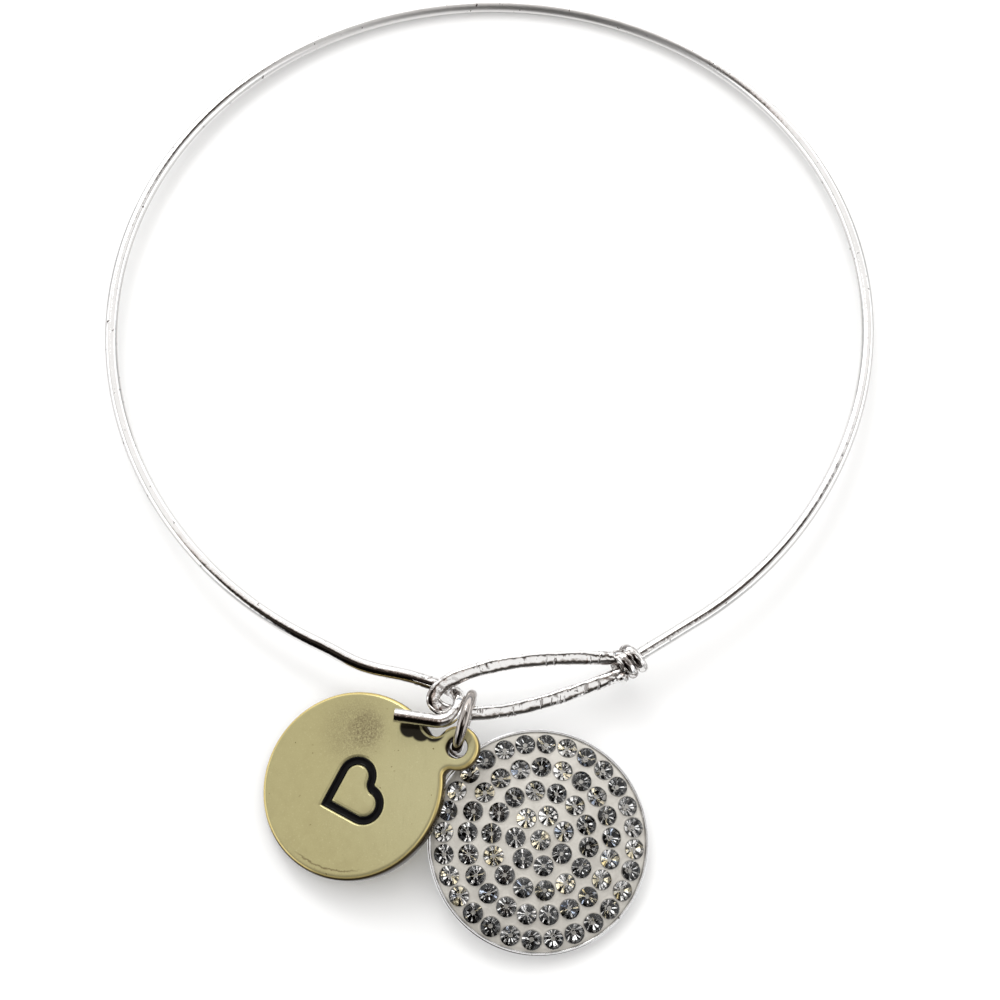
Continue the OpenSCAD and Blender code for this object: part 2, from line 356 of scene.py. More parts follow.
class Paint:
    """A principled material and short ways to add nodes to it."""

    def __init__(self, name, color, metallic, roughness):
        self.material = bpy.data.materials.new(name)
        self.material.use_nodes = True
        self.nodes = self.material.node_tree.nodes
        self.links = self.material.node_tree.links
        self.shader = self.nodes["Principled BSDF"]
        self.shader.inputs["Base Color"].default_value = (*color, 1)
        self.shader.inputs["Metallic"].default_value = metallic
        self.shader.inputs["Roughness"].default_value = roughness
        self.place = self.nodes.new("ShaderNodeTexCoord").outputs["Object"]
        self.height = None

    def set(self, name, value):
        self.shader.inputs[name].default_value = value

    def node(self, kind, **settings):
        made = self.nodes.new("ShaderNode" + kind)
        for key, value in settings.items():
            setattr(made, key, value)
        return made

    def stretched(self, x, y, z, about=(0, 0, 0)):
        mapping = self.node("Mapping")
        mapping.inputs["Scale"].default_value = (x, y, z)
        mapping.inputs["Rotation"].default_value = about
        self.links.new(self.place, mapping.inputs["Vector"])
        return mapping.outputs["Vector"]

    def noise(self, per_mm, detail, rough, at=None):
        """A noise pattern with per_mm main waves in a millimetre."""
        made = self.node("TexNoise")
        made.inputs["Scale"].default_value = per_mm / MM
        made.inputs["Detail"].default_value = detail
        made.inputs["Roughness"].default_value = rough
        self.links.new(at or self.place, made.inputs["Vector"])
        return made.outputs["Fac"]

    def ramp(self, value, low, high, to_low=0.0, to_high=1.0):
        """Goes smoothly from to_low, where value is low, to to_high, where it is high."""
        made = self.node("MapRange", interpolation_type="SMOOTHSTEP")
        made.inputs["From Min"].default_value = low
        made.inputs["From Max"].default_value = high
        made.inputs["To Min"].default_value = to_low
        made.inputs["To Max"].default_value = to_high
        self.links.new(value, made.inputs["Value"])
        return made.outputs["Result"]

    def math(self, operation, a, b=0.0):
        made = self.node("Math", operation=operation)
        for socket, value in zip(made.inputs, (a, b)):
            if isinstance(value, (int, float)):
                socket.default_value = value
            else:
                self.links.new(value, socket)
        return made.outputs["Value"]

    def mix(self, factor, a, b):
        return mixed(self.nodes, self.links, "MIX", factor, a, b)

    def color(self, value):
        self.links.new(value, self.shader.inputs["Base Color"])

    def roughness(self, value):
        self.links.new(value, self.shader.inputs["Roughness"])

    def source(self, name):
        """The socket that now feeds one of the shader's inputs."""
        return self.shader.inputs[name].links[0].from_socket

    def bump(self, height, distance_mm):
        """Adds a height pattern, whose full range stands for distance_mm."""
        made = self.node("Bump")
        made.inputs["Distance"].default_value = distance_mm * MM
        made.inputs["Strength"].default_value = 1.0
        self.links.new(height, made.inputs["Height"])
        if self.height:
            self.links.new(self.height, made.inputs["Normal"])
        self.height = made.outputs["Normal"]
        self.links.new(self.height, self.shader.inputs["Normal"])

    def distance_from(self, point):
        """Distance in millimetres from a point of the part's frame."""
        made = self.node("VectorMath", operation="DISTANCE")
        made.inputs[1].default_value = [c * MM for c in point]
        self.links.new(self.place, made.inputs[0])
        return self.math("DIVIDE", made.outputs["Value"], MM)

    def height_in(self, place):
        """Height in millimetres along the Z axis of a piece's own frame."""
        axis = (place.to_3x3() @ Vector((0, 0, 1))).normalized()
        made = self.node("VectorMath", operation="DOT_PRODUCT")
        made.inputs[1].default_value = axis
        self.links.new(self.place, made.inputs[0])
        in_mm = self.math("DIVIDE", made.outputs["Value"], MM)
        return self.math("SUBTRACT", in_mm, axis.dot(place.translation))


def silver_paint(name, color, roughness, varied, specks):
    """Plated metal with dark specks, where noise passes the level specks. Its roughness varies in a range."""
    paint = Paint(name, color, 1.0, roughness)
    paint.roughness(paint.ramp(paint.noise(9, 4, 0.6), 0.3, 0.75, *varied))
    dark = paint.ramp(paint.noise(2.6, 2, 0.5), specks, specks + 0.035)
    dull = paint.ramp(paint.noise(0.5, 3, 0.6), 0.35, 0.7, 0, 0.25)
    plated = paint.mix(dull, color, tuple(c * 0.82 for c in color))
    paint.color(paint.mix(dark, plated, (0.12, 0.10, 0.09)))
    paint.bump(paint.noise(1.4, 3, 0.55), 0.02)
    paint.bump(paint.noise(14, 2, 0.5), 0.0015)
    return paint


def dull_far_side(paint):
    """Roughness on the hoop's far side, fading out along both of its arms."""
    far_side = (0, HOOP_Y + HOOP_R, HOOP_Z)
    return paint.ramp(paint.distance_from(far_side), 14, 30, 0.36, 0)


def hammer_marks(paint):
    """Dents in the eye's flat strands, and lines across them. Returns the lines."""
    middle_of_eye = IN_HOOP @ Vector(np.array(EYE_AT) + EYE_LENGTH / 2 * heading(EYE_HEADING))
    on_eye = paint.ramp(paint.distance_from(middle_of_eye), 6.2, 8.2, 1, 0)
    across = paint.noise(1, 3, 0.6, paint.stretched(2.4, 0.5, 0.5))
    lines = paint.math("MULTIPLY", on_eye, paint.ramp(across, 0.60, 0.66))
    dents = paint.math("MULTIPLY", on_eye, paint.noise(1, 2, 0.5, paint.stretched(0.9, 0.5, 0.5)))
    paint.bump(dents, 0.12)
    paint.bump(lines, -0.015)
    return lines


def clasp_shade_streaks(paint):
    """Painted brown shade, in streaks, where the hook and the eye meet and between the knot's turns."""
    leg_end = hoop_point(HOOK_ANGLE) + HOOK_LEG * heading(LEG_HEADING)
    hook_bend = leg_end + HOOK_R * heading(LEG_HEADING - 90)
    eye_tip = np.array(EYE_AT) + EYE_LENGTH * heading(EYE_HEADING)
    on_knot = hoop_point(NECK_ANGLE) + (KNOT_END - KNOT_PITCH * KNOT_TURNS / 2) * heading(NECK_HEADING)
    shade_reach = 0.0
    for point, reach, most in ((hook_bend, 3.6, 0.8), (eye_tip, 3.4, 0.8), (on_knot, 2.6, 0.9)):
        near = paint.ramp(paint.distance_from(IN_HOOP @ Vector(point)), reach * 0.45, reach, most, 0)
        shade_reach = paint.math("MAXIMUM", shade_reach, near)
    streaks = paint.ramp(paint.noise(1.5, 3, 0.6, paint.stretched(1.0, 2.2, 1.0)), 0.46, 0.56)
    return paint.math("MULTIPLY", shade_reach, streaks)


def wire_paint():
    """Silver plate, worn dull on the hoop's far side, hammered on the eye, and streaked with painted brown
    shade at the clasp and the knot.
    """
    paint = silver_paint("silver_plate", (0.92, 0.905, 0.89), 0.09, (0.05, 0.14), 0.70)
    paint.roughness(paint.math("ADD", dull_far_side(paint), paint.source("Roughness")))
    lines = paint.math("MULTIPLY", hammer_marks(paint), 0.65)
    # The hammer lines and the painted shade at the clasp and the knot share one brown
    brown = paint.math("MAXIMUM", lines, clasp_shade_streaks(paint))
    paint.color(paint.mix(brown, paint.source("Base Color"), (0.17, 0.14, 0.125)))
    return paint.material


GOLD = (0.412, 0.370, 0.189)
WORN_GOLD = (0.342, 0.297, 0.149)
PALE_GOLD = (0.466, 0.430, 0.243)


def from_face(paint, x, y):
    """Distance in millimetres from a place on the gold disc's face."""
    return paint.distance_from(IN_DISC @ Vector((x, y, DISC_H / 2)))


def spot(paint, x, y, inner, outer, most=1.0):
    """A round mask on the gold disc's face, which fades out from inner to outer."""
    return paint.ramp(from_face(paint, x, y), inner, outer, most, 0)


def gold_plate(paint, mottle):
    """Mottled plate, slightly paler towards the ear, with bright and dark grain."""
    base = paint.mix(paint.ramp(mottle, 0.40, 0.70, 0, 0.22), GOLD, WORN_GOLD)
    base = paint.mix(spot(paint, 8, -1, 2, 12, 0.9), base, PALE_GOLD)
    bright_grain = paint.ramp(paint.noise(6.5, 3, 0.6), 0.56, 0.74, 0, 0.3)
    base = paint.mix(bright_grain, base, (0.62, 0.57, 0.34))
    dark_grain = paint.ramp(paint.noise(15, 3, 0.7), 0.50, 0.66, 0, 0.22)
    return paint.mix(dark_grain, base, (0.30, 0.26, 0.125))


def painted_rim_light(paint, base):
    """A painted highlight makes the upper part of the rounded rim yellower than the face. Below it the
    rounding and the wall are painted dark as shade and dark reflection, most of all on the low side.
    """
    level = paint.height_in(IN_DISC)
    at_rim = paint.ramp(from_face(paint, 0, 0), 6.3, 6.7)
    shaded_low_side = paint.math("MULTIPLY", at_rim, spot(paint, 0.5, -7.2, 6.5, 9.5))
    for where, low, high, most, tint in (
            # Painted highlight: a yellow band on the upper rounding
            (at_rim, 0.60, 0.645, 0.8, (0.74, 0.58, 0.22)),
            # Painted shade and dark reflection on the lower rounding and the wall
            (at_rim, 0.42, 0.54, 0.93, (0.06, 0.04, 0.015)),
            # Painted shadow, darkest on the low side next to the floor
            (shaded_low_side, 0.55, 0.61, 0.95, (0.03, 0.02, 0.01))):
        below = paint.ramp(level, low, high, most, 0)
        base = paint.mix(paint.math("MULTIPLY", where, below), base, tint)
    return base


def tarnished_patch(paint):
    """A grainy patch near the hook, with a faint halo."""
    grain = paint.ramp(paint.noise(11, 5, 0.75), 0.42, 0.56)
    core = spot(paint, 0.95, 4.2, 0.7, 2.2)
    halo = spot(paint, 0.2, 4.2, 1.0, 3.6, 0.5)
    return paint.math("MULTIPLY", paint.math("MAXIMUM", core, halo), grain)


def painted_reflection_arc(paint):
    """A swerving dark line painted inside the low rim, as the dark reflection that runs along it."""
    arc_r = 6.5
    swerve = paint.math("MULTIPLY", paint.math("SUBTRACT", paint.noise(2.2, 4, 0.7), 0.5), 0.5)
    off_arc = paint.math("ADD", paint.math("SUBTRACT", from_face(paint, 0, 0), arc_r), swerve)
    on_arc = paint.ramp(paint.math("ABSOLUTE", off_arc), 0.01, 0.10, 1, 0)
    return paint.math("MULTIPLY", on_arc, spot(paint, -1.9, -6.3, 1.6, 3.2, 0.8))


def painted_hook_shadow(paint):
    """Painted shadow and reflection of the hook's tip on the face below it, crossed by a thin line where it
    is mostly left out, as a painted bright line.
    """
    line_r = 1.25
    shadow_mask = spot(paint, 4.55, 4.15, 0.7, 0.9)
    for x, y in ((5.5, 3.85), (6.5, 3.75)):
        shadow_mask = paint.math("MAXIMUM", shadow_mask, spot(paint, x, y, 0.75, 0.95))
    off_line = paint.math("ABSOLUTE", paint.math("SUBTRACT", from_face(paint, 6.6, 4.5), line_r))
    return paint.math("MULTIPLY", shadow_mask, paint.ramp(off_line, 0.05, 0.12, 0.25, 1))


# Painted shade: the wall of the ear's hole is darkened
def ear_hole_shade(paint):
    ear = EAR_REACH * heading(EAR_ANGLE)
    middle = IN_DISC @ Vector((ear[0], ear[1], DISC_H / 2 - EAR_H / 2))
    return paint.ramp(paint.distance_from(middle), 0.97, 1.04, 0.95, 0)


def gold_paint():
    """Satin plate. Half of it scatters the light, so that it stays gold from every side."""
    paint = Paint("pale_gold_plate", GOLD, 0.5, 0.12)
    paint.set("Specular IOR Level", 0.1)
    mottle = paint.noise(1.3, 5, 0.66)
    patch = tarnished_patch(paint)
    pits = paint.ramp(paint.noise(3.1, 2, 0.5), 0.735, 0.76)
    color = painted_rim_light(paint, gold_plate(paint, mottle))
    for mask, most, tint in (
            (patch, 0.9, (0.15, 0.115, 0.065)),
            # Painted dark reflection along the low rim
            (painted_reflection_arc(paint), 1.0, (0.16, 0.12, 0.06)),
            # Painted shadow and reflection of the hook's tip, near black
            (painted_hook_shadow(paint), 0.98, (0.008, 0.006, 0.005)),
            # Painted shade in the ear's hole
            (ear_hole_shade(paint), 1.0, (0.03, 0.022, 0.015)),
            (pits, 1.0, (0.2, 0.16, 0.07))):
        color = paint.mix(paint.math("MULTIPLY", mask, most), color, tint)
    paint.color(color)
    rough = paint.ramp(mottle, 0.3, 0.7, 0.08, 0.17)
    paint.roughness(paint.math("ADD", rough, paint.math("MULTIPLY", patch, 0.25)))
    paint.bump(paint.noise(0.35, 2, 0.5), 0.02)
    paint.bump(paint.noise(7, 4, 0.6), 0.001)
    scratches = paint.noise(1, 2, 0.5, paint.stretched(9, 0.5, 3, (0, 0, 0.6)))
    paint.bump(paint.ramp(scratches, 0.64, 0.7), 0.0015)
    return paint.material


def enamel_paint():
    paint = Paint("black_enamel", (0.003, 0.0027, 0.003), 0.0, 0.12)
    paint.set("Specular IOR Level", 0.08)
    paint.roughness(paint.ramp(paint.noise(5, 3, 0.5), 0.35, 0.7, 0.08, 0.25))
    paint.bump(paint.noise(2.4, 3, 0.5), 0.02)
    return paint.material


def clay_paint():
    paint = Paint("pale_clay", (0.52, 0.50, 0.46), 0.0, 0.55)
    tone = paint.ramp(paint.noise(0.8, 4, 0.6), 0.35, 0.68)
    base = paint.mix(tone, (0.585, 0.56, 0.51), (0.50, 0.475, 0.43))
    speck = paint.ramp(paint.noise(9, 3, 0.6), 0.60, 0.72, 0, 0.35)
    paint.color(paint.mix(speck, base, (0.36, 0.345, 0.31)))
    paint.roughness(paint.ramp(paint.noise(6, 3, 0.6), 0.3, 0.7, 0.42, 0.7))
    paint.bump(paint.noise(1.6, 4, 0.6), 0.05)
    paint.bump(paint.noise(12, 3, 0.6), 0.008)
    return paint.material


def glass_paint():
    paint = Paint("crystal_glass", (0.97, 0.975, 0.985), 0.0, 0.0)
    paint.set("Transmission Weight", 1.0)
    paint.set("IOR", 1.56)
    paint.set("Specular IOR Level", 0.15)
    wear = paint.noise(6, 3, 0.6)
    paint.roughness(paint.ramp(wear, 0.55, 0.8, 0.0, 0.06))
    return paint.material


def foil_paint(name, color):
    """Mirror foil behind the glass. A stone shows light and dark facets from what it reflects, and these are
    painted as a dark foil and a light foil, with warm and cool foils for painted flashes.
    """
    paint = Paint(name, color, 1.0, 0.05)
    tone = paint.ramp(paint.noise(0.45, 2, 0.5), 0.42, 0.6)
    paint.color(paint.mix(tone, color, tuple(c * 0.75 for c in color)))
    paint.roughness(paint.ramp(paint.noise(4, 3, 0.5), 0.3, 0.7, 0.03, 0.12))
    return paint.material


# Bangle wire

# Sides of the wire's cross-section
SIDES = 28


def hoop_point(a):
    """Point on the middle line of the slightly oval and three-lobed hoop."""
    r = HOOP_R + OVAL * math.sin(math.radians(2 * a)) + THREE_LOBE * math.sin(math.radians(3 * a))
    return r * heading(a)


def eased(u):
    """Goes smoothly from 0 at 0 to 1 at 1."""
    return (1 - math.cos(math.pi * min(1, max(0, u)))) / 2


def sagged(p):
    """The point p, moved outwards where the wire sags."""
    middle = hoop_point(HOOK_ANGLE) + SAG_AHEAD * heading(LEG_HEADING)
    return p + SAG * (1 - eased(np.linalg.norm(p - middle) / SAG_REACH)) * heading(HOOK_ANGLE)


def hook_rows():
    """The hook from its tip to the end of the leg, as (place, flatness)."""
    leg_end = hoop_point(HOOK_ANGLE) + HOOK_LEG * heading(LEG_HEADING)

    def bend(a):
        flat = leg_end + HOOK_R * (heading(LEG_HEADING - 90) + heading(LEG_HEADING + 90 - a))
        return flat + np.array([0, 0, HOOK_LIFT * eased(a / HOOK_CLIMB)])
    tip = bend(HOOK_TURN) + HOOK_TIP * heading(LEG_HEADING - HOOK_TURN)
    tip_steps, bend_steps, leg_steps = 8, 40, 16
    rows = [(tip + (bend(HOOK_TURN) - tip) * i / tip_steps, 0) for i in range(tip_steps)]
    rows += [(bend(HOOK_TURN * (1 - i / bend_steps)), 0) for i in range(bend_steps + 1)]
    leg = [leg_end - HOOK_LEG * i / leg_steps * heading(LEG_HEADING) for i in range(1, leg_steps)]
    return rows + [(sagged(p), 0) for p in leg]


def hoop_rows():
    steps = 310
    angles = [HOOK_ANGLE + (NECK_ANGLE - HOOK_ANGLE) * i / steps for i in range(steps)]
    return [(sagged(hoop_point(a)), 0) for a in angles]


def neck_rows():
    start = hoop_point(NECK_ANGLE)
    steps = 12
    return [(start + NECK_LENGTH * i / steps * heading(NECK_HEADING), 0) for i in range(steps + 1)]


# The strip's wide direction and the one square to it
EYE_SIDE = math.cos(math.radians(EYE_ROLL)) * heading(EYE_HEADING - 90)
EYE_SIDE[2] = math.sin(math.radians(EYE_ROLL))
EYE_NORMAL = np.cross(EYE_SIDE, heading(EYE_HEADING))


def eye_rows():
    """The eye, out along one strand, round its tip and back, rising towards the tip."""
    steps = 180
    bulge = EYE_WIDTH / 2 - STRAND_ALLOWANCE
    rows = []
    for i in range(steps + 1):
        t = math.radians(EYE_FIRST + (360 - 2 * EYE_FIRST) * i / steps)
        teardrop = math.sin(t) * abs(math.sin(t / 2)) / TEARDROP_PEAK
        half = STRAND_APART * math.cos(t / 2) + bulge * teardrop
        along = EYE_LENGTH * (1 - math.cos(t)) / 2
        p = np.array(EYE_AT) + along * heading(EYE_HEADING) + half * EYE_SIDE
        rows.append((p + np.array([0, 0, EYE_LIFT * along / EYE_LENGTH]), min(1, along / FLAT_FROM)))
    return rows


def hammer(along):
    """Small changes of the strip's width and thickness, for a distance along the wire."""
    width = sum(height * math.sin(along * rate + start) for height, rate, start in HAMMER_WAVES)
    return width, -HAMMER_THINNING * width


def wire_sections():
    """Cross-sections from the hook's tip to the end of the eye, each as the arguments of section."""
    rows = hook_rows() + hoop_rows() + neck_rows() + eye_rows()
    points = [r[0] for r in rows]
    sections = []
    along = 0
    for i, (p, flat) in enumerate(rows):
        ahead = unit(points[min(i + 1, len(rows) - 1)] - points[max(i - 1, 0)])
        up = flat * EYE_NORMAL + (1 - flat) * np.array([0, 0, 1.0])
        side = unit(np.cross(up, ahead))
        up = np.cross(ahead, side)
        along += np.linalg.norm(p - points[max(i - 1, 0)])
        more_w, more_t = hammer(along) if flat else (0, 0)
        w = WIRE_D + (STRIP_W + more_w - WIRE_D) * flat
        h = WIRE_D + (STRIP_T + more_t - WIRE_D) * flat
        sections.append((p, side, up, w, h, 1 - STRIP_SQUARING * flat, SIDES))
    return sections


def hook_end(sections):
    """Rings of the hook's end face, from the innermost one to the bottom of its groove."""
    p, side, up, w, h, _, _ = sections[0]
    outwards = unit(p - sections[1][0])
    rings = []
    for k in range(END_STEPS, 0, -1):
        a = math.radians(90 * k / END_STEPS)
        shrink = 1 - END_GROOVE / (WIRE_D / 2) * (1 - math.cos(a))
        q = p - outwards * END_GROOVE * (1 - math.sin(a))
        rings.append(section(q, side, up, w * shrink, h * shrink, 1, SIDES))
    return rings


def bangle_wire(material):
    sections = wire_sections()
    verts, faces = swept(hook_end(sections) + [section(*s) for s in sections])
    add_mesh(verts, faces, knot())
    piece = new_piece("bangle_wire_looks", verts, faces, IN_HOOP, material)
    weigh_normals(piece)
    return piece


def knot():
    """The tail of the wire, wound round the neck, with rounded ends that press against it."""
    wind_r = WIRE_D / 2 + KNOT_WIRE / 2 - KNOT_BITE
    start = hoop_point(NECK_ANGLE) + KNOT_START * heading(NECK_HEADING)
    place = move(*start) @ turn(0, 0, NECK_HEADING)

    def wound(a):
        t = math.radians(a)
        return np.array([KNOT_PITCH * a / 360, wind_r * math.cos(t), wind_r * math.sin(t)])
    steps, end_steps, sides = 120, 4, 24
    smallest = 0.12
    rings = []
    for i in range(-end_steps, steps + end_steps + 1):
        a = 360 * KNOT_TURNS * min(max(i, 0), steps) / steps
        beyond = max(-i, i - steps, 0)
        out = np.array([0, math.cos(math.radians(a)), math.sin(math.radians(a))])
        ahead = unit(wound(a + 1) - wound(a - 1))
        swing = math.radians(90 * beyond / end_steps)
        p = wound(a) + math.copysign(1, i) * ahead * KNOT_WIRE / 4 * math.sin(swing)
        width = KNOT_WIRE * max(smallest, math.cos(swing))
        rings.append(section(p, out, np.cross(ahead, out), width, width, 1, sides))
    verts, faces = swept(rings)
    return [tuple(place @ Vector(v)) for v in verts], faces


# Jump ring

def jump_ring(material):
    verts, faces = torus((RING_D - RING_WIRE) / 2, RING_WIRE / 2, 128, 28)
    return new_piece("jump_ring_looks", verts, faces, IN_RING, material)


# Gold disc

# Steps of the outline's arcs, of the ear's hole and of each rounding
DISC_ARC, FILLET_ARC, EAR_ARC = 150, 10, 44
HOLE_STEPS = 56
ROUNDING_STEPS = 6
# A rounding from the wall to the face, as shares of its radius: in from the wall, and down from the face
ROUNDING_ANGLES = [math.radians(90 * i / ROUNDING_STEPS) for i in range(ROUNDING_STEPS + 1)]
ROUNDING = [(1 - math.cos(a), 1 - math.sin(a)) for a in ROUNDING_ANGLES]
SPIN = turn(0, 0, EAR_ANGLE)
TOP = DISC_H / 2


def disc_outline(inset):
    """Outline of disc and ear with filleted corners, drawn in by inset. The ear points along +X."""
    big, small, fillet = DISC_R - inset, EAR_R - inset, FILLET + inset
    a, b = big + fillet, small + fillet
    x = (a * a - b * b + EAR_REACH ** 2) / (2 * EAR_REACH)
    y = math.sqrt(a * a - x * x)
    from_disc = math.degrees(math.atan2(y, x))
    from_ear = math.degrees(math.atan2(y, x - EAR_REACH))
    points = arc_points(0, 0, big, from_disc, 360 - from_disc, DISC_ARC)
    points += arc_points(x, -y, fillet, 180 - from_disc, 180 - from_ear, FILLET_ARC)[1:-1]
    points += arc_points(EAR_REACH, 0, small, -from_ear, from_ear, EAR_ARC)
    points += arc_points(x, y, fillet, 180 + from_ear, 180 + from_disc, FILLET_ARC)[1:-1]
    return points


def plate_bottom(x):
    """The ear is thinner than the disc, at the underside."""
    return -DISC_H / 2 + (DISC_H - EAR_H) * eased((x - DISC_R - EAR_STEP_OUT) / EAR_STEP)


def heart_outline(inset):
    """Outline of the heart, drawn in by inset, from its tip round to its tip again."""
    c = HEART_SIDE / (2 * math.sqrt(2))
    lobe_r = HEART_SIDE / 2 + LIP - inset
    tip_y = (inset - LIP) * math.sqrt(2)
    shoulder = np.array([c, 3 * c]) + lobe_r * heading(-45)[:2]
    line_steps, lobe_steps, notch_steps = 12, 26, 8
    tip = np.array([0, tip_y])
    half = [tuple(tip + (shoulder - tip) * i / line_steps) for i in range(line_steps)]
    # The outermost outlines of the two lobes cross in the notch, and the others round that point
    outer_r = HEART_SIDE / 2 + LIP
    crossing = math.degrees(math.asin(c / outer_r))
    half += arc_points(c, 3 * c, lobe_r, -45, 90 + crossing, lobe_steps)
    notch_y = 3 * c + math.sqrt(outer_r ** 2 - c * c)
    half += arc_points(0, notch_y, inset, crossing - 90, -90, notch_steps)[1:]
    other = [(-x, y) for x, y in half[1:-1]][::-1]
    return [(x, y - HEART_MIDDLE) for x, y in half + other]


ON_FACE = move(*HEART_AT, 0) @ turn(0, 0, EAR_ANGLE - 90)


def fill_between(bm, loops):
    """Flat face that fills the space between closed loops of vertices."""
    edges = []
    for loop in loops:
        for i, v in enumerate(loop):
            w = loop[(i + 1) % len(loop)]
            edges.append(bm.edges.get((v, w)) or bm.edges.new((v, w)))
    bmesh.ops.triangle_fill(bm, use_beauty=True, use_dissolve=False, edges=edges)


def ring_of_quads(bm, a, b):
    for i in range(len(a)):
        j = (i + 1) % len(a)
        bm.faces.new((a[i], a[j], b[j], b[i]))


def vertex_loop(bm, points, height, place):
    """A ring of vertices. height is a number, or a function of x."""
    made = []
    for x, y in points:
        z = height(x) if callable(height) else height
        made.append(bm.verts.new(place @ Vector((x, y, z))))
    return made


def disc_rim(bm):
    """The rounded wall round disc and ear. Returns the edges of the face and of the underside."""
    def row(inward, height):
        return vertex_loop(bm, disc_outline(inward), height, SPIN)
    rows = [row(DISC_ROUND + FACE_STRIP, TOP)]
    rows += [row(DISC_ROUND * inward, TOP - DISC_ROUND * down) for inward, down in ROUNDING[::-1]]
    for inward, down in ROUNDING:
        rows.append(row(DISC_ROUND * inward, lambda x, down=down: plate_bottom(x) + DISC_ROUND * down))
    rows.append(row(DISC_ROUND + FACE_STRIP, plate_bottom))
    for a, b in zip(rows, rows[1:]):
        ring_of_quads(bm, b, a)
    return rows[0], rows[-1]


def ear_hole(bm):
    """The hole, rounded at both ends. Returns its edges in the face and in the underside."""
    rows = []
    for sign, face_z in ((1, TOP), (-1, TOP - EAR_H)):
        for inward, down in ROUNDING[::-sign]:
            points = circle_points(EAR_REACH, 0, EAR_HOLE_R + HOLE_ROUND * inward, HOLE_STEPS)
            rows.append(vertex_loop(bm, points, face_z - sign * HOLE_ROUND * down, SPIN))
    for a, b in zip(rows, rows[1:]):
        ring_of_quads(bm, a, b)
    return rows[0], rows[-1]


def heart_groove(bm):
    """The groove. Returns its outer and its inner edge in the face."""
    near = LIP + GROOVE_INSET
    far = LIP + HEART_LINE - GROOVE_INSET
    outlines = [(heart_outline(near + x), drop) for x, drop in GROOVE_SLOPE]
    outlines += [(heart_outline(far - x), drop) for x, drop in GROOVE_SLOPE[::-1]]
    rows = [vertex_loop(bm, outline, TOP - drop, ON_FACE) for outline, drop in outlines]
    for a, b in zip(rows, rows[1:]):
        ring_of_quads(bm, a, b)
    return rows[0], rows[-1]


def initial_disc(material):
    bm = bmesh.new()
    face_edge, underside_edge = disc_rim(bm)
    hole_top, hole_bottom = ear_hole(bm)
    groove_outside, groove_inside = heart_groove(bm)
    fill_between(bm, [face_edge, hole_top, groove_outside])
    fill_between(bm, [groove_inside])
    fill_between(bm, [underside_edge, hole_bottom])
    bmesh.ops.recalc_face_normals(bm, faces=bm.faces)
    mesh = bpy.data.meshes.new("initial_disc_looks")
    bm.to_mesh(mesh)
    bm.free()
    mesh.transform(Matrix.Scale(MM, 4) @ IN_DISC)
    mesh.shade_smooth()
    piece = linked_piece("initial_disc_looks", mesh, material)
    weigh_normals(piece, 60)
    return piece


def enamel_motif(material):
    """Black enamel in the groove, a little hollow between the walls."""
    near, far = LIP + ENAMEL_NEAR, LIP + HEART_LINE - ENAMEL_FAR
    bottom = TOP - HEART_DEPTH + ENAMEL_LIFT
    steps = 8
    rings = [[(x, y, bottom) for x, y in heart_outline(near)]]
    for i in range(steps + 1):
        u = i / steps
        z = TOP - ENAMEL_SINK - ENAMEL_SAG * math.sin(math.pi * u) ** 0.7
        rings.append([(x, y, z) for x, y in heart_outline(near + (far - near) * u)])
    rings.append([(x, y, bottom) for x, y in heart_outline(far)])
    verts = [p for ring in rings for p in ring]
    faces = joined_rings(rings, closed=True)
    return new_piece("enamel_heart_looks", verts, faces, IN_DISC @ ON_FACE, material)


# Crystal disc

def pave_cup(material):
    """Shallow cup with a rounded lip, and its ear."""
    inner = CUP_R - CUP_WALL
    profile = [(HUB_R, 0), (CUP_R * 0.5, 0)]
    profile += arc_points(CUP_R - CUP_EDGE, CUP_EDGE, CUP_EDGE, -90, 0, 5)
    profile += arc_points(CUP_R - CUP_LIP, CUP_H - CUP_LIP, CUP_LIP, 0, 90, 6)
    profile += arc_points(inner + CUP_LIP, CUP_H - CUP_LIP, CUP_LIP, 90, 180, 6)
    profile += [(inner, CUP_FLOOR), (HUB_R, CUP_FLOOR)]
    verts, faces = lathe(profile, 220)
    eye = torus(CUP_EAR_R, CUP_EAR_WIRE / 2, 64, 20)
    place = turn(0, 0, CUP_EAR_ANGLE) @ move(CUP_R + CUP_EAR_OUT, 0, CUP_EAR_Z)
    add_mesh(verts, faces, ([tuple(place @ Vector(v)) for v in eye[0]], eye[1]))
    piece = new_piece("pave_cup_looks", verts, faces, IN_CUP, material)
    weigh_normals(piece, 60)
    return piece


def stone_places():
    """A frame on the dome for each stone, with +Z out of the clay."""
    places = []
    for count, radius, phase in STONE_RINGS:
        for i in range(count):
            tip = math.degrees(math.asin(radius / DOME_R))
            places.append(move(0, 0, CLAY_LIP + DOME_RISE - DOME_R) @ turn(0, tip, phase + 360 * i / count)
                          @ move(0, 0, DOME_R + GIRDLE_LIFT))
    return places


def dome_height(r):
    return CLAY_LIP + DOME_RISE - DOME_R + math.sqrt(DOME_R ** 2 - r * r)


def clay_relief(r, away):
    """Height added to the dome at r from its axis and away from the nearest stone's middle."""
    pocket_depth, pocket_slope, under_stone = 0.45, 0.35, 0.02
    swell_height, swell_width, beside_stone = 0.035, 0.07, 0.03
    rim_depth, rim_width = 0.06, 0.3
    pocket = -pocket_depth * eased((STONE_R - under_stone - away) / pocket_slope)
    swell = swell_height * math.exp(-((away - STONE_R - beside_stone) / swell_width) ** 2)
    at_rim = -rim_depth * eased((r - CLAY_R + rim_width) / rim_width)
    return pocket + swell + at_rim


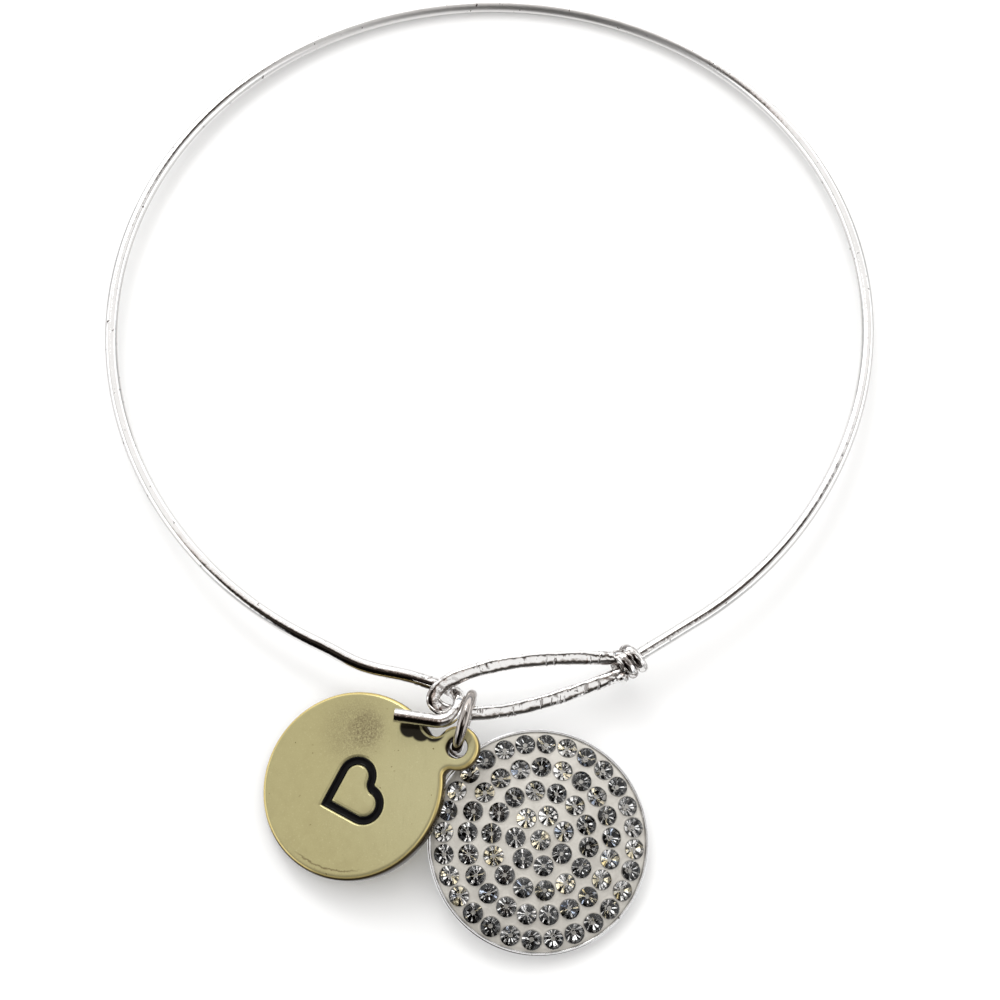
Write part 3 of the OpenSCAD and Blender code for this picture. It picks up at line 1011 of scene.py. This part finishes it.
def clay_bed(material):
    """Dome of clay with a pocket under each stone and a slight swelling round it."""
    centres = np.array([[*(p @ Vector((0, 0, 0)))][:2] for p in stone_places()])
    turns, steps = 420, 130
    circle = [2 * math.pi * i / turns for i in range(turns)]
    verts, faces = [], []
    for k in range(steps + 1):
        r = HUB_R + (CLAY_R - HUB_R) * k / steps
        for a in circle:
            x, y = r * math.cos(a), r * math.sin(a)
            away = np.sqrt(((centres - (x, y)) ** 2).sum(1)).min()
            verts.append((x, y, dome_height(r) + clay_relief(r, away)))
    for k in range(steps):
        for i in range(turns):
            j = (i + 1) % turns
            a, b = k * turns, (k + 1) * turns
            faces.append((a + i, b + i, b + j, a + j))
    wall = len(verts)
    rim, hub = wall - turns, wall + turns
    for r in (CLAY_R, HUB_R):
        verts += [(r * math.cos(a), r * math.sin(a), CUP_FLOOR + CLAY_GAP) for a in circle]
    for i in range(turns):
        j = (i + 1) % turns
        faces.append((rim + i, wall + i, wall + j, rim + j))
        faces.append((wall + i, hub + i, hub + j, wall + j))
    faces.append(tuple(range(turns)))
    faces.append(tuple(hub + i for i in range(turns))[::-1])
    piece = new_piece("clay_bed_looks", verts, faces, IN_CUP, material)
    weigh_normals(piece, 60)
    return piece


# Glass and the kinds of foil, as places in the stones' list of materials. The dark foil is painted shade, the
# light foil painted glints, and the warm and cool foils painted flashes.
GLASS, DARK, LIGHT, WARM, COOL = range(5)
WEDGES = 32
# Shares of the stones with much light foil, and of the light runs that are coloured as painted flashes
BRIGHT_SHARE = 0.28
WARM_SHARE = 0.07
COOL_SHARE = 0.02
STONE_SEED = 7
STONE_WOBBLE = 4


def stone_mesh():
    """Verts and faces of one chaton, and what each face is made of. The pavilion's wedges come last."""
    verts, faces, kinds = [], [], []

    def ring(n, r, z, offset=0.0):
        start = len(verts)
        for i in range(n):
            a = 2 * math.pi * (i + offset) / n
            verts.append((r * math.cos(a), r * math.sin(a), z))
        return start

    def face(indices, kind):
        faces.append(tuple(indices))
        kinds.append(kind)
    per_side = WEDGES // 8
    table = ring(8, TABLE_R, GIRDLE_H + CROWN_H)
    middle = ring(8, (TABLE_R + STONE_R) / 2 + KITE_OUT, GIRDLE_H + CROWN_H * KITE_RISE, 0.5)
    high = ring(WEDGES, STONE_R, GIRDLE_H)
    low = ring(WEDGES, STONE_R, 0)
    culet = ring(WEDGES, CULET_R, -PAVILION_H)
    face((table + i for i in range(8)), GLASS)
    for i in range(8):
        j, before = (i + 1) % 8, (i - 1) % 8
        # Star, kite and upper girdle facets of the crown
        face((table + i, middle + i, table + j), GLASS)
        face((table + i, middle + before, high + per_side * i, middle + i), GLASS)
        for k in range(per_side):
            g = per_side * i + k
            face((middle + i, high + g, high + (g + 1) % WEDGES), GLASS)
    face((culet + i for i in reversed(range(WEDGES))), LIGHT)
    for i in range(WEDGES):
        j = (i + 1) % WEDGES
        face((high + i, low + i, low + j, high + j), DARK)
    for i in range(WEDGES):
        j = (i + 1) % WEDGES
        face((culet + i, culet + j, low + j, low + i), DARK)
    return verts, faces, kinds


def wedge_kinds(rng):
    """A foil for each wedge of one pavilion: painted dark lobes with painted light gaps, and at times a
    painted coloured flash.
    """
    bright_stone = rng.random() < BRIGHT_SHARE
    dark_runs, light_runs = ((1, 1, 2), (2, 2, 3)) if bright_stone else ((1, 2, 2, 3), (1, 1, 2))
    kinds = [WARM] * rng.choice((0, 3, 4)) if bright_stone else []
    while len(kinds) < WEDGES:
        kinds += [DARK] * rng.choice(dark_runs)
        flash = rng.random()
        light = WARM if flash < WARM_SHARE else COOL if flash < WARM_SHARE + COOL_SHARE else LIGHT
        kinds += [light] * rng.choice(light_runs)
    return kinds[:WEDGES]


def crystals(glass, foils):
    """All stones in one mesh, each slightly askew and with its own pattern of painted light and dark foil."""
    rng = random.Random(STONE_SEED)
    one_verts, one_faces, one_kinds = stone_mesh()
    verts, faces, kinds = [], [], []
    for place in stone_places():
        askew = [rng.uniform(-STONE_WOBBLE, STONE_WOBBLE) for _ in range(2)]
        wobble = turn(*askew, rng.uniform(0, 45))
        start = len(verts)
        verts += [tuple(place @ wobble @ Vector(v)) for v in one_verts]
        faces += [tuple(start + i for i in f) for f in one_faces]
        kinds += one_kinds[:-WEDGES] + wedge_kinds(rng)
    piece = new_piece("crystals_looks", verts, faces, IN_CUP, glass, smooth=False)
    for foil in foils:
        piece.data.materials.append(foil)
    for polygon, kind in zip(piece.data.polygons, kinds):
        polygon.material_index = kind
    return piece


# Studio

# Stops of the studio's colour ramps: a place from -1 to 1 along a direction, and a colour or a grey.
# Pale room, by height: down is -1, the horizon 0 and up 1
HEIGHT_STOPS = (
    (-1.0, 0.48), (-0.03, 0.48), (0.0, (0.20, 0.23, 0.27)), (0.06, (0.26, 0.29, 0.33)),
    (0.13, 1.0), (0.50, 1.0), (0.60, 0.5), (1.0, 0.5))
# Its two grey walls, from the left to the right
SIDE_STOPS = (
    (-1.0, 1.0), (-0.90, 1.0), (-0.84, 0.60), (-0.72, 0.58), (-0.66, 1.0),
    (0.58, 1.0), (0.66, 0.60), (0.82, 0.62), (0.88, 1.0), (1.0, 1.0))
# Near side, grey above a dark foot, from the near end to the far end
NEAR_STOPS = (
    (-1.0, 0.12), (-0.85, (0.03, 0.028, 0.026)), (-0.54, (0.02, 0.018, 0.016)),
    (-0.44, (0.20, 0.18, 0.165)), (-0.37, 0.50), (-0.08, 0.50),
    (0.06, (0.34, 0.33, 0.32)), (0.18, (0.20, 0.19, 0.18)), (1.0, (0.20, 0.19, 0.18)))
# Its right corner at the back is dark
STREAK_AXIS = (0.8, 0.6, 0)
STREAK_STOPS = ((-1.0, 1.0), (0.20, 1.0), (0.27, (0.12, 0.10, 0.09)), (1.0, (0.08, 0.07, 0.06)))
# Its left part is black, and warm at the seam
BLACK_AXIS = (0.996, 0.092, 0)
BLACK_STOPS = (
    (-1.0, (0.03, 0.024, 0.02)), (-0.14, (0.03, 0.024, 0.02)), (-0.09, (0.36, 0.27, 0.23)),
    (-0.04, (0.90, 0.82, 0.78)), (0.0, 1.0), (1.0, 1.0))
WHITE = (1.0, 1.0, 1.0)
PEACH = (0.62, 0.55, 0.51)
# Edges of the near side: a direction, how far along it the near side ends and the pale room begins,
# and the room's tint there
ROOM_EDGES = (
    ((-0.52, 0.854, 0), 0.26, 0.31, PEACH),
    ((-0.52, 0.854, 0), 0.33, 0.38, WHITE),
    ((0.414, 0.910, 0), 0.42, 0.47, WHITE),
    ((1, 0, 0), 0.52, 0.60, WHITE),
    ((-1, 0, 0), 0.70, 0.78, WHITE),
    ((-0.9, 0, -0.43), 0.64, 0.70, WHITE),
    ((0.6, 0, -0.8), 0.27, 0.36, WHITE),
)
WORLD_STRENGTH = 1.95
# What the camera sees beyond the floor's edge
BACKDROP = (0.36, 0.36, 0.358)

# The camera was fitted to the hoop's outline in the photograph, and its place counts from the hoop's middle
CAMERA_LENS = 58.97
CAMERA_SENSOR = 36
CAMERA_AT = (0.872, -61.632, 127.164)
CAMERA_ELEVATION = 70.382

FLOOR_HALF = 3.0
# Square lamps: place in metres, width, watts, and whether metal reflects them
LAMPS = (
    ("key", (-0.15, 0.50, 0.50), 0.25, 0.9, True),
    ("overhead", (-0.15, 0.05, 0.80), 1.7, 7.2, False),
)


def studio_world():
    """A pale room with a grey and black near side, which metal and glass reflect."""
    world = bpy.data.worlds.new("studio")
    bpy.context.scene.world = world
    world.use_nodes = True
    nodes, links = world.node_tree.nodes, world.node_tree.links
    direction = nodes.new("ShaderNodeTexCoord").outputs["Generated"]

    def along(axis, low, high):
        """How far the direction points along an axis, as 0 at low and 1 at high."""
        dot = nodes.new("ShaderNodeVectorMath")
        dot.operation = "DOT_PRODUCT"
        dot.inputs[1].default_value = axis
        links.new(direction, dot.inputs[0])
        value = nodes.new("ShaderNodeMapRange")
        value.inputs["From Min"].default_value = low
        value.inputs["From Max"].default_value = high
        links.new(dot.outputs["Value"], value.inputs["Value"])
        return value.outputs["Result"]

    def ramp(axis, stops):
        made = nodes.new("ShaderNodeValToRGB")
        elements = made.color_ramp.elements
        while len(elements) < len(stops):
            elements.new(0.5)
        for element, (at, shade) in zip(elements, stops):
            element.position = (at + 1) / 2
            element.color = (*shade, 1) if isinstance(shade, tuple) else (shade, shade, shade, 1)
        links.new(along(axis, -1, 1), made.inputs["Fac"])
        return made.outputs["Color"]

    def mix(kind, factor, a, b):
        return mixed(nodes, links, kind, factor, a, b)
    pale = mix("MULTIPLY", 1.0, ramp((0, 0, 1), HEIGHT_STOPS), ramp((1, 0, 0), SIDE_STOPS))
    room = mix("MULTIPLY", 1.0, ramp((0, 1, 0), NEAR_STOPS), ramp(BLACK_AXIS, BLACK_STOPS))
    room = mix("MULTIPLY", 1.0, room, ramp(STREAK_AXIS, STREAK_STOPS))
    for axis, near_end, pale_start, tint in ROOM_EDGES:
        room = mix("MIX", along(axis, near_end, pale_start), room, mix("MULTIPLY", 1.0, pale, tint))
    seen_directly = nodes.new("ShaderNodeLightPath").outputs["Is Camera Ray"]
    background = nodes["Background"]
    links.new(mix("MIX", seen_directly, room, BACKDROP), background.inputs["Color"])
    background.inputs["Strength"].default_value = WORLD_STRENGTH


def lay_floor():
    """Pale floor. Metal doesn't reflect it, but the lower half of the studio's own room."""
    mesh = bpy.data.meshes.new("floor")
    corners = [(x * FLOOR_HALF, y * FLOOR_HALF, 0) for x, y in ((-1, -1), (1, -1), (1, 1), (-1, 1))]
    mesh.from_pydata(corners, [], [(0, 1, 2, 3)])
    pale = Paint("floor_pale", (0.93, 0.93, 0.925), 0.0, 0.65)
    pale.set("Specular IOR Level", 0.2)
    floor = linked_piece("floor", mesh, pale.material)
    floor.visible_glossy = False


def set_camera():
    data = bpy.data.cameras.new("camera")
    data.lens = CAMERA_LENS
    data.sensor_width = CAMERA_SENSOR
    data.clip_start = 0.005
    camera = bpy.data.objects.new("camera", data)
    x, y, z = CAMERA_AT
    camera.location = (x * MM, (y + HOOP_Y) * MM, z * MM)
    camera.rotation_euler = (math.radians(90 - CAMERA_ELEVATION), 0, 0)
    bpy.context.scene.collection.objects.link(camera)
    bpy.context.scene.camera = camera


def hang_lamps():
    """Area lamps that face the part."""
    for name, at, size, watts, in_reflections in LAMPS:
        data = bpy.data.lights.new(name, "AREA")
        data.size = size
        data.energy = watts
        lamp = bpy.data.objects.new(name, data)
        lamp.location = at
        lamp.rotation_mode = "QUATERNION"
        lamp.rotation_quaternion = (-Vector(at)).to_track_quat("-Z", "Y")
        lamp.visible_glossy = in_reflections
        bpy.context.scene.collection.objects.link(lamp)


bpy.context.scene.view_settings.view_transform = "Standard"
lay_floor()
set_camera()
studio_world()
hang_lamps()

SILVER = wire_paint()
# The ring's plated metal is painted darker than the wire's, as painted shade for the dark reflections it
# shows
SHADED_RING_METAL = silver_paint("ring_metal", (0.40, 0.365, 0.34), 0.08, (0.048, 0.144), 0.74).material
CUP_METAL = silver_paint("cup_metal", (0.86, 0.86, 0.86), 0.14, (0.084, 0.252), 0.74).material
# One mirror foil in painted copies: dark for shaded facets, light for glints, warm and cool for flashes
FOILS = (
    foil_paint("foil_painted_shade", (0.018, 0.018, 0.019)),
    foil_paint("foil_painted_glint", (0.95, 0.945, 0.93)),
    foil_paint("foil_painted_warm_flash", (0.97, 0.88, 0.64)),
    foil_paint("foil_painted_cool_flash", (0.66, 0.76, 0.94)),
)
PIECES = (
    (bangle_wire(SILVER), "bangle_wire", "silver_plate"),
    (jump_ring(SHADED_RING_METAL), "jump_ring", "ring_metal"),
    (initial_disc(gold_paint()), "initial_disc", "gold_plate"),
    (enamel_motif(enamel_paint()), "enamel_motif", "black_enamel"),
    (pave_cup(CUP_METAL), "pave_cup", "cup_metal"),
    (clay_bed(clay_paint()), "clay_bed", "pale_clay"),
    (crystals(glass_paint(), FOILS), "crystals", "crystal"),
)
for piece, node, slot in PIECES:
    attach(piece, "root")
    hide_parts(node)
